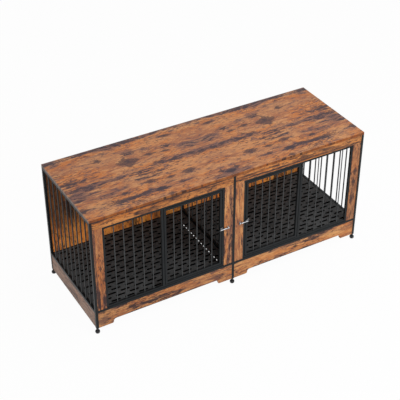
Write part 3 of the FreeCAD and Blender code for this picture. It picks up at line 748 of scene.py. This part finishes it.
@dataclass(frozen=True)
class MouldedBlack:
    """Moulded black plastic or rubber with a fine matt texture."""

    name: str
    low: Colour
    high: Colour
    roughness: float
    shine: float = 0.4
    cloud: Cloud = Cloud(40.0, 3.0)
    skin: Cloud = Cloud(1200.0, 2.0)
    skin_dulls: float = 0.15
    relief: Relief = Relief(0.00012, 0.5)
    tone_step: Step = Step(0.35, 0.65)

    def make(self) -> bpy.types.Material:
        """Builds the material.

        Returns:
            The material.
        """
        material, bench, place = principled(self.name)
        skin = self.skin.read(bench, place)
        tone = self.tone_step.cut(bench, self.cloud.read(bench, place))
        close(bench, {
            "Base Color": bench.blend(tone, self.low, self.high),
            "Roughness": self.roughness + self.skin_dulls * (skin - NOISE_MIDDLE),
            "Normal": self.relief.normal(bench, skin),
            "Specular IOR Level": self.shine,
        })
        return material


@dataclass
class Dresser:
    """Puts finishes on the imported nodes."""

    nodes: Dict[str, bpy.types.Object]

    def put(self, material: bpy.types.Material, names: Iterable[str]) -> None:
        """Gives a finish to nodes.

        Args:
            material: the finish.
            names: the nodes.
        """
        for name in names:
            mesh = self.nodes[name].data
            mesh.materials.clear()
            mesh.materials.append(material)
            LOG.info("%s wears %s", name, material.name)


def pairs(*kinds: str) -> List[str]:
    """Names of nodes that come as a left and a right one."""
    return [f"{kind}_{side}" for kind in kinds for side in SIDES]


@dataclass
class BoardWork:
    """The printed boards: top, surrounds, skirts and back."""

    top: PrintedBoard = PrintedBoard(
        "top_print", Grain.FLAT_X, 2.3, TOP_STAIN, mirrored=True, depth=0.68,
        shade_step=Step(0.555, 0.645), tan_step=Step(0.45, 0.59),
        tints=(
            # Painted sheen: both end faces of the top are greyed, standing in for the grazing reflection on
            # them
            FaceTint(Axis.X, 0, (0.24, 0.185, 0.155), 0.7),
            FaceTint(Axis.Y, -1, (0.58, 0.43, 0.24), lay=Lay.MULTIPLY),
        ),
        tone=Layer(2.2, 8.0, 5.0, 0.62), blush=Layer(2.6, 9.0, 4.0, 0.6), shade=Layer(2.2, 13.0, 5.0, 0.62),
        marks=(
            Mark(0.468, 0.098, 0.075, 0.055), Mark(0.855, 0.060, 0.06, 0.024),
            Mark(0.202, -0.150, 0.055, 0.026), Mark(0.322, -0.153, 0.04, 0.016),
            Mark(0.443, -0.135, 0.07, 0.018), Mark(0.048, -0.247, 0.026, 0.02),
            Mark(0.885, -0.217, 0.04, 0.024), Mark(0.39, -0.295, 0.028, 0.016),
            Mark(0.63, -0.225, 0.1, 0.014), Mark(0.322, 0.113, 0.055, 0.016),
            Mark(0.225, 0.101, 0.04, 0.012), Mark(0.15, 0.251, 0.055, 0.016),
            Mark(0.615, 0.185, 0.035, 0.018), Mark(0.87, -0.127, 0.045, 0.015),
            Mark(0.285, -0.225, 0.026, 0.014),
        ),
        bands=(
            Mark(0.06, 0.098, 0.19, 0.04), Mark(0.72, -0.02, 0.4, 0.036), Mark(0.1, 0.003, 0.36, 0.032),
            Mark(0.5, -0.229, 0.34, 0.026), Mark(0.45, 0.318, 0.9, 0.045), Mark(0.02, -0.29, 0.12, 0.035),
            Mark(0.88, -0.09, 0.2, 0.06), Mark(0.86, 0.3, 0.1, 0.06),
        ),
        glows=(
            Mark(0.22, -0.08, 0.42, 0.075), Mark(0.62, 0.19, 0.26, 0.09), Mark(0.4, 0.05, 0.2, 0.03),
            Mark(0.16, -0.19, 0.3, 0.035), Mark(0.78, -0.28, 0.16, 0.04), Mark(0.25, 0.22, 0.2, 0.05),
        ),
    )
    rail_left: PrintedBoard = PrintedBoard(
        "rail_print_left", Grain.UPRIGHT_X, 11.7, RAIL_STAIN,
        marks=(
            Mark(-0.84, 0.762, 0.07, 0.009), Mark(-0.62, 0.731, 0.02, 0.008),
            # The last, long thin mark along the top edge is a painted shadow line under the top
            Mark(-0.135, 0.75, 0.03, 0.008), Mark(-0.45, 0.77, 1.8, 0.0022),
        ),
        bands=(Mark(-0.45, 0.765, 1.4, 0.005),),
        glows=(Mark(-0.45, 0.729, 1.4, 0.018),),
    )
    rail_right: PrintedBoard = PrintedBoard(
        "rail_print_right", Grain.UPRIGHT_X, 17.1, RAIL_STAIN,
        marks=(
            Mark(0.475, 0.744, 0.075, 0.018), Mark(0.09, 0.745, 0.09, 0.009),
            # The last, long thin mark along the top edge is a painted shadow line under the top
            Mark(0.26, 0.748, 0.06, 0.006), Mark(0.45, 0.77, 1.8, 0.0022),
        ),
        bands=(Mark(0.55, 0.726, 0.9, 0.011),),
        glows=(Mark(0.45, 0.757, 1.4, 0.014),),
    )
    skirt_left: PrintedBoard = PrintedBoard(
        "skirt_print_left", Grain.UPRIGHT_X, 23.9, TAWNY_STAIN,
        marks=(Mark(-0.85, 0.135, 0.03, 0.009),),
        bands=(
            Mark(-0.85, 0.075, 0.11, 0.045), Mark(-0.45, 0.062, 0.5, 0.014), Mark(-0.12, 0.09, 0.1, 0.03),
        ),
    )
    skirt_right: PrintedBoard = PrintedBoard(
        "skirt_print_right", Grain.UPRIGHT_X, 29.3, WARM_STAIN,
        marks=(Mark(0.45, 0.105, 0.02, 0.012), Mark(0.52, 0.066, 0.07, 0.008)),
        bands=(Mark(0.58, 0.12, 0.13, 0.03), Mark(0.3, 0.062, 0.3, 0.01)),
    )
    outer_left: PrintedBoard = PrintedBoard(
        "stile_print_outer_left", Grain.RISING_Z, 31.1,
        bands=(
            Mark(0.62, -0.876, 0.3, 0.012), Mark(0.27, -0.872, 0.2, 0.014), Mark(0.2, -0.838, 0.08, 0.02),
        ),
    )
    inner_left: PrintedBoard = PrintedBoard(
        "stile_print_inner_left", Grain.RISING_Z, 37.7, TAWNY_STAIN, depth=0.62,
        bands=(Mark(0.46, -0.024, 0.6, 0.016), Mark(0.3, -0.012, 0.3, 0.012)),
    )
    inner_right: PrintedBoard = PrintedBoard("stile_print_inner_right", Grain.RISING_Z, 41.3, TAWNY_STAIN)
    outer_right: PrintedBoard = PrintedBoard(
        "stile_print_outer_right", Grain.RISING_Z, 43.9, DEEP_STAIN,
        marks=(Mark(0.52, 0.862, 0.035, 0.016), Mark(0.442, 0.855, 0.04, 0.016)),
    )
    # The end faces wear the print with a painted sheen mixed into its colours
    end: PrintedBoard = PrintedBoard("end_print_and_painted_sheen", Grain.UPRIGHT_Y, 47.7, END_STAIN_AND_PAINTED_SHEEN)
    back: PrintedBoard = PrintedBoard(
        "back_print_and_painted_light", Grain.RISING_Z, 53.3,
        tints=(
            # Painted light and shade on the inner faces: darker overall, and brighter towards the floor,
            # standing in for the light inside the crate
            FaceTint(Axis.Y, -1, (0.58, 0.56, 0.42), lay=Lay.MULTIPLY),
            FaceTint(Axis.Y, -1, (3.9, 3.5, 2.5), lay=Lay.MULTIPLY, levels=Step(0.44, 0.19)),
        ),
        tone=Layer(0.7, 9.0, 4.0, 0.6), streak=Layer(2.5, 34.0, 5.0, 0.65),
        blush=Layer(1.0, 12.0, 4.0, 0.6), shade=Layer(0.9, 14.0, 5.0, 0.62),
    )
    rear: PrintedBoard = PrintedBoard("rear_skirt_print", Grain.UPRIGHT_X, 59.9)

    def dress(self, dresser: Dresser) -> None:
        """Puts each print on its boards.

        Args:
            dresser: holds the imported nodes.
        """
        prints = {
            "top_panel": self.top,
            "front_rail_left": self.rail_left,
            "front_rail_right": self.rail_right,
            "front_skirt_left": self.skirt_left,
            "front_skirt_right": self.skirt_right,
            "stile_outer_left": self.outer_left,
            "stile_inner_left": self.inner_left,
            "stile_inner_right": self.inner_right,
            "stile_outer_right": self.outer_right,
        }
        for name, finish in prints.items():
            dresser.put(finish.make(), [name])
        dresser.put(self.end.make(), pairs("side_skirt"))
        dresser.put(self.back.make(), pairs("back_panel"))
        dresser.put(self.rear.make(), pairs("back_skirt"))


@dataclass(frozen=True)
class CrateSizes:
    """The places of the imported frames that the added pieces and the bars' finish follow."""

    half_length: float
    front: float
    back: float
    top_low: float
    post: float
    tube: float
    rail_top: float
    open_out: float
    wood_low: float
    door_in: float
    door_out: float
    door_low: float
    door_top: float
    bar_line: float

    @classmethod
    def read(cls) -> "CrateSizes":
        """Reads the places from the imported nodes.

        Returns:
            The places.
        """
        top_lowest, top_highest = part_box("top_panel")
        post_lowest, post_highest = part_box("centre_post_front")
        divider_lowest, divider_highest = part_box("divider_panel")
        grille_lowest, grille_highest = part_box("grille_frame_right")
        door_lowest, door_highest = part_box("door_right")
        return cls(
            half_length=top_highest.x,
            front=top_lowest.y,
            back=top_highest.y,
            top_low=top_lowest.z,
            post=post_highest.x - post_lowest.x,
            tube=divider_highest.x - divider_lowest.x,
            rail_top=grille_lowest.z,
            open_out=grille_highest.x,
            wood_low=grille_highest.z,
            door_in=door_lowest.x,
            door_out=door_highest.x,
            door_low=door_lowest.z,
            door_top=door_highest.z,
            bar_line=(door_lowest.y + door_highest.y) / 2,
        )

    @property
    def end_line(self) -> float:
        """How far the middle of an end frame is from the crate's middle."""
        return self.half_length - self.post / 2

    @property
    def door_gap(self) -> float:
        """The gap round a door."""
        return self.door_low - self.rail_top - self.tube


def bridge(shape: bmesh.types.BMesh, lower: Ring, upper: Ring) -> None:
    """Joins two rings of corners with a band of faces.

    Args:
        shape: the shape to add to.
        lower: one ring.
        upper: the next ring, with as many corners.
    """
    for step, corner in enumerate(lower):
        after = (step + 1) % len(lower)
        shape.faces.new((corner, lower[after], upper[after], upper[step]))


def add_piece(
    name: str, shape: bmesh.types.BMesh, material: bpy.types.Material, body: str
) -> None:
    """Turns a closed shape into a piece that rides on a body.

    Args:
        name: the piece's name.
        shape: its shape, which is freed.
        material: its finish.
        body: the body it rides on.
    """
    bmesh.ops.recalc_face_normals(shape, faces=shape.faces[:])
    mesh = bpy.data.meshes.new(name)
    shape.to_mesh(mesh)
    shape.free()
    mesh.materials.append(material)
    piece = bpy.data.objects.new(name, mesh)
    bpy.context.scene.collection.objects.link(piece)
    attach(piece, body)
    LOG.info("%s built", name)


def round_angles(segments: int) -> List[float]:
    """The angles of even steps round a circle."""
    return [2 * math.pi * step / segments for step in range(segments)]


@dataclass(frozen=True)
class BarRow:
    """A row of upright bars whose ends are welded to rails; the first bar stands a step from the start."""

    body: str
    start: Triple
    step: Triple
    count: int
    radius: float
    low: float
    high: float


@dataclass
class SteelWork:
    """The powder coated frames, with a weld bead round both ends of each bar."""

    sizes: CrateSizes
    front_bar_radius: float = 0.003
    side_bar_radius: float = 0.004
    skin_slack: float = 0.0002
    fixed_bars: int = 5
    door_bars: int = 6
    side_bars: int = 9
    bead_height: float = 0.0014
    bead_width: float = 0.0014
    bead_root_share: float = 0.7
    bead_slope_share: float = 0.6
    segments: int = 12

    def dress(self, dresser: Dresser) -> None:
        """Coats the frames and adds their weld beads.

        Args:
            dresser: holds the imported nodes.
        """
        thin = self.front_bar_radius + self.skin_slack
        thick = self.side_bar_radius + self.skin_slack
        front = PowderCoat("front_powder", plane=BarPlane(Axis.Y, self.sizes.bar_line, thin))
        side = PowderCoat("side_powder", plane=BarPlane(Axis.X, self.sizes.end_line, thick))
        divider = PowderCoat("divider_powder", plane=BarPlane(Axis.X, 0.0, thin))
        coat = PowderCoat("black_powder").make()
        posts = [f"centre_post_{end}" for end in ENDS]
        dresser.put(coat, posts + pairs("bottom_rail_front", "bottom_rail_back"))
        dresser.put(front.make(), pairs("grille_frame", "door"))
        dresser.put(side.make(), pairs("side_frame"))
        dresser.put(divider.make(), ["divider_panel"])
        for name, row in self.rows().items():
            self.beads(f"{name}_welds", row, coat)

    def rows(self) -> Dict[str, BarRow]:
        """Where the bars stand.

        Returns:
            The rows of bars by name.
        """
        sizes = self.sizes
        tube = sizes.tube
        inner = sizes.front + sizes.post
        clear = sizes.back - sizes.post - inner
        side_pitch = clear / (self.side_bars + 1)
        divider_pitch = (clear - 2 * tube) / (self.side_bars + 1)
        fixed_start = sizes.door_out + sizes.door_gap + tube
        fixed_pitch = (sizes.open_out - tube - fixed_start) / (self.fixed_bars + 1)
        door_start = sizes.door_in + tube
        door_pitch = (sizes.door_out - tube - door_start) / (self.door_bars + 1)
        sill = sizes.rail_top + tube
        rows = {
            "divider": BarRow(
                "crate", (0.0, inner + tube, 0.0), (0.0, divider_pitch, 0.0),
                self.side_bars, self.front_bar_radius, sill, sizes.top_low - tube,
            ),
        }
        for side, sign in zip(SIDES, SIGNS):
            rows[f"side_{side}"] = BarRow(
                "crate", (sign * sizes.end_line, inner, 0.0), (0.0, side_pitch, 0.0),
                self.side_bars, self.side_bar_radius, sizes.rail_top, sizes.top_low - sizes.post,
            )
            rows[f"fixed_{side}"] = BarRow(
                "crate", (sign * fixed_start, sizes.bar_line, 0.0), (sign * fixed_pitch, 0.0, 0.0),
                self.fixed_bars, self.front_bar_radius, sill, sizes.wood_low - tube,
            )
            rows[f"door_{side}"] = BarRow(
                f"{side}_door", (sign * door_start, sizes.bar_line, 0.0), (sign * door_pitch, 0.0, 0.0),
                self.door_bars, self.front_bar_radius, sizes.door_low + tube, sizes.door_top - tube,
            )
        return rows

    def beads(self, name: str, row: BarRow, coat: bpy.types.Material) -> None:
        """Makes the weld beads of one row of bars as one mesh.

        Args:
            name: the mesh's name.
            row: where the bars stand.
            coat: the finish.
        """
        shape = bmesh.new()
        for index in range(1, row.count + 1):
            centre = Vector(row.start) + Vector(row.step) * index
            for level, way in ((row.low, 1), (row.high, -1)):
                self.bead(shape, centre, row.radius, level, way)
        for face in shape.faces:
            face.smooth = True
        add_piece(name, shape, coat, row.body)

    def bead(self, shape: bmesh.types.BMesh, centre: Vector, radius: float, level: float, way: int) -> None:
        """Adds one closed ring with a sloped face.

        Args:
            shape: the mesh to add to.
            centre: the bar's axis.
            radius: the bar's radius.
            level: the height of the rail's face.
            way: 1 above the rail, -1 below it.
        """
        root = radius * self.bead_root_share
        slope = self.bead_slope_share
        profile = (
            (root, 0.0),
            (radius + self.bead_width, 0.0),
            (radius + self.bead_width * slope, self.bead_height * slope),
            (root, self.bead_height),
        )
        rings: List[Ring] = []
        for reach, rise in profile:
            ring = []
            for angle in round_angles(self.segments):
                place = (centre.x + reach * math.cos(angle), centre.y + reach * math.sin(angle),
                         level + way * rise)
                ring.append(shape.verts.new(place))
            rings.append(ring)
        for lower, upper in zip(rings, rings[1:] + rings[:1]):
            bridge(shape, lower, upper)


@dataclass
class HoleCaps:
    """Black push-in caps over the tool holes in the end posts."""

    sizes: CrateSizes
    plastic: MouldedBlack = MouldedBlack("cap_plastic", (0.012, 0.012, 0.013), (0.022, 0.022, 0.024), 0.5)
    radius: float = 0.0062
    hole: float = 0.0046
    rise: float = 0.0009
    sink: float = 0.0012
    shoulder_radius_share: float = 0.92
    shoulder_rise_share: float = 0.6
    crown_radius_share: float = 0.6
    segments: int = 24

    def build(self) -> None:
        """Makes the caps."""
        material = self.plastic.make()
        lines = (self.sizes.front + self.sizes.post / 2, self.sizes.back - self.sizes.post / 2)
        for side, sign in zip(SIDES, SIGNS):
            for end, line in zip(ENDS, lines):
                self.cap(f"hole_cap_{end}_{side}", sign, line, material)

    def cap(self, name: str, sign: int, line: float, material: bpy.types.Material) -> None:
        """Makes one low domed cap.

        Args:
            name: the cap's name.
            sign: -1 at the left end, 1 at the right.
            line: its place along Y.
            material: its finish.
        """
        profile = (
            (self.hole, -self.sink),
            (self.hole, 0.0),
            (self.radius, 0.0),
            (self.radius * self.shoulder_radius_share, self.rise * self.shoulder_rise_share),
            (self.radius * self.crown_radius_share, self.rise),
        )
        level = self.sizes.rail_top - self.sizes.post / 2
        shape = bmesh.new()
        rings: List[Ring] = []
        for reach, out in profile:
            ring = []
            for angle in round_angles(self.segments):
                place = (sign * (self.sizes.half_length + out), line + reach * math.cos(angle),
                         level + reach * math.sin(angle))
                ring.append(shape.verts.new(place))
            rings.append(ring)
        for lower, upper in zip(rings, rings[1:]):
            bridge(shape, lower, upper)
        shape.faces.new(rings[0])
        shape.faces.new(rings[-1])
        add_piece(name, shape, material, "crate")


@dataclass
class FloorWork:
    """The slotted floors, and the trays and ledges under them."""

    # The grid's slot walls carry painted shade
    grid: PowderCoat = PowderCoat(
        "speckled_floor", (0.052, 0.054, 0.055), (0.094, 0.097, 0.099),
        roughness=0.6, shine=0.12, speckle=0.55, painted_slot_shade=grey(0.002),
    )
    # Black tray and ledges, set darker than any plastic or paint as painted shade seen through the slots
    tray: MouldedBlack = MouldedBlack("tray_plastic_and_painted_shade", grey(0.001), grey(0.002), 0.9, 0.04)
    ledge: PowderCoat = PowderCoat("ledge_powder_and_painted_shade", grey(0.002), grey(0.003), roughness=0.8, shine=0.05)

    def dress(self, dresser: Dresser) -> None:
        """Puts the finishes on.

        Args:
            dresser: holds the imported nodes.
        """
        dresser.put(self.grid.make(), pairs("floor_grid"))
        dresser.put(self.tray.make(), pairs("drip_tray"))
        dresser.put(self.ledge.make(), ["floor_ledge_front", "floor_ledge_back", "floor_support"])


@dataclass
class SmallParts:
    """Latches, pivots, feet and fasteners."""

    chrome: PlatedMetal = PlatedMetal("latch_chrome", (0.36, 0.37, 0.385), (0.2, 0.205, 0.215), 0.26, 0.12)
    zinc: PlatedMetal = PlatedMetal("zinc_plate", (0.5, 0.5, 0.49), (0.38, 0.38, 0.37), 0.32, 0.12)
    bush: MouldedBlack = MouldedBlack("bush_plastic", (0.014, 0.014, 0.015), (0.025, 0.025, 0.026), 0.45)
    sole: MouldedBlack = MouldedBlack("foot_rubber", (0.008, 0.008, 0.009), (0.016, 0.016, 0.017), 0.55)

    def dress(self, dresser: Dresser) -> None:
        """Puts the finishes on.

        Args:
            dresser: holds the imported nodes.
        """
        dresser.put(self.chrome.make(), ["keeper_screws"] + pairs("latch_barrel", "bolt", "keeper"))
        screws = ["board_screws", "top_screws", "grille_screws"]
        bolts = ["divider_bolts", "rail_nuts", "rail_bolts"]
        dresser.put(self.zinc.make(), screws + bolts + pairs("door_pivots"))
        dresser.put(self.bush.make(), ["foot_inserts"] + pairs("pivot_bushes"))
        feet = [f"foot_{end}_{column}" for end in ENDS for column in ("left", "centre", "right")]
        dresser.put(self.sole.make(), feet)


@dataclass(frozen=True)
class Lamp:
    """One soft square light."""

    name: str
    place: Triple
    aim: Triple
    size: float
    power: float


@dataclass
class Studio:
    """A white room with soft light and the picture's camera."""

    floor_half: float = 14.0
    world_light: float = 0.5
    floor_white: float = 0.965
    floor_pale: float = 0.75
    target: Triple = (-0.044, 0.006, 0.431)
    azimuth: float = -29.99
    elevation: float = 35.02
    distance: float = 6.201
    lens: float = 93.31
    sensor: float = 36.0
    view_end: float = 100.0
    lamps: Tuple[Lamp, ...] = (
        Lamp("key_light", (0.6, -1.0, 5.0), (0.0, 0.0, 0.4), 3.0, 82.0),
        Lamp("front_light", (1.6, -4.4, 2.4), (0.0, 0.0, 0.4), 3.0, 100.0),
    )

    def build(self) -> None:
        """Sets up the room."""
        bpy.context.scene.view_settings.view_transform = "Standard"
        self.sky()
        self.ground()
        for lamp in self.lamps:
            self.light(lamp)
        self.camera()

    def seen(self, bench: Bench) -> Wire:
        """Mask of the rays that show the background: those of the eye, of gloss and of glass.

        Args:
            bench: the bench of the world or the floor.

        Returns:
            The mask.
        """
        eye = bench.add("ShaderNodeLightPath", output="Is Camera Ray")
        gloss = bench.add("ShaderNodeLightPath", output="Is Glossy Ray")
        glass = bench.add("ShaderNodeLightPath", output="Is Transmission Ray")
        return Step(0.0, 1.0).cut(bench, eye + gloss + glass)

    def sky(self) -> None:
        """Makes the world white to the eye and softer as a light."""
        world = bpy.data.worlds.new("studio_world")
        world.use_nodes = True
        bpy.context.scene.world = world
        bench = Bench(world.node_tree)
        strength = self.world_light + (1.0 - self.world_light) * self.seen(bench)
        back = bench.add("ShaderNodeBackground", None, {"Color": opaque(WHITE), "Strength": strength})
        bench.add("ShaderNodeOutputWorld", None, {"Surface": back})

    def ground(self) -> None:
        """Lays the pale floor, nearly white to the eye, which keeps a faint shadow."""
        half = self.floor_half
        corners = [(-half, -half, 0.0), (half, -half, 0.0), (half, half, 0.0), (-half, half, 0.0)]
        mesh = bpy.data.meshes.new("studio_floor")
        mesh.from_pydata(corners, [], [range(len(corners))])
        floor = bpy.data.objects.new("studio_floor", mesh)
        bpy.context.scene.collection.objects.link(floor)
        material = bpy.data.materials.new("studio_floor")
        material.use_nodes = True
        bench = Bench(material.node_tree)
        matt = bench.add("ShaderNodeBsdfDiffuse", None, {"Color": opaque(grey(self.floor_pale))})
        white = bench.add("ShaderNodeEmission", None, {"Color": opaque(WHITE), "Strength": 1.0})
        share = self.floor_white * self.seen(bench)
        mixed = bench.add("ShaderNodeMixShader", None, {0: share, 1: matt, 2: white})
        bench.add("ShaderNodeOutputMaterial", None, {"Surface": mixed})
        mesh.materials.append(material)

    def light(self, lamp: Lamp) -> None:
        """Hangs one lamp.

        Args:
            lamp: the lamp.
        """
        data = bpy.data.lights.new(lamp.name, "AREA")
        data.shape = "SQUARE"
        data.size = lamp.size
        data.energy = lamp.power
        piece = bpy.data.objects.new(lamp.name, data)
        piece.location = lamp.place
        piece.rotation_euler = (Vector(lamp.aim) - Vector(lamp.place)).to_track_quat("-Z", "Y").to_euler()
        bpy.context.scene.collection.objects.link(piece)

    def camera(self) -> None:
        """Places the camera at the picture's angle."""
        turn, lift = math.radians(self.azimuth), math.radians(self.elevation)
        away = Vector((math.sin(turn) * math.cos(lift), -math.cos(turn) * math.cos(lift), math.sin(lift)))
        data = bpy.data.cameras.new("picture_camera")
        data.lens = self.lens
        data.sensor_width = self.sensor
        data.clip_end = self.view_end
        piece = bpy.data.objects.new("picture_camera", data)
        piece.location = Vector(self.target) + away * self.distance
        piece.rotation_euler = (-away).to_track_quat("-Z", "Y").to_euler()
        bpy.context.scene.collection.objects.link(piece)
        bpy.context.scene.camera = piece


def main() -> None:
    """Loads the crate, dresses it and sets the studio."""
    logging.basicConfig(level=logging.INFO, format="%(message)s")
    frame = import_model()
    sizes = CrateSizes.read()
    dresser = Dresser(frame["nodes"])
    BoardWork().dress(dresser)
    SteelWork(sizes).dress(dresser)
    FloorWork().dress(dresser)
    SmallParts().dress(dresser)
    HoleCaps(sizes).build()
    Studio().build()


if __name__ == "__main__":
    main()
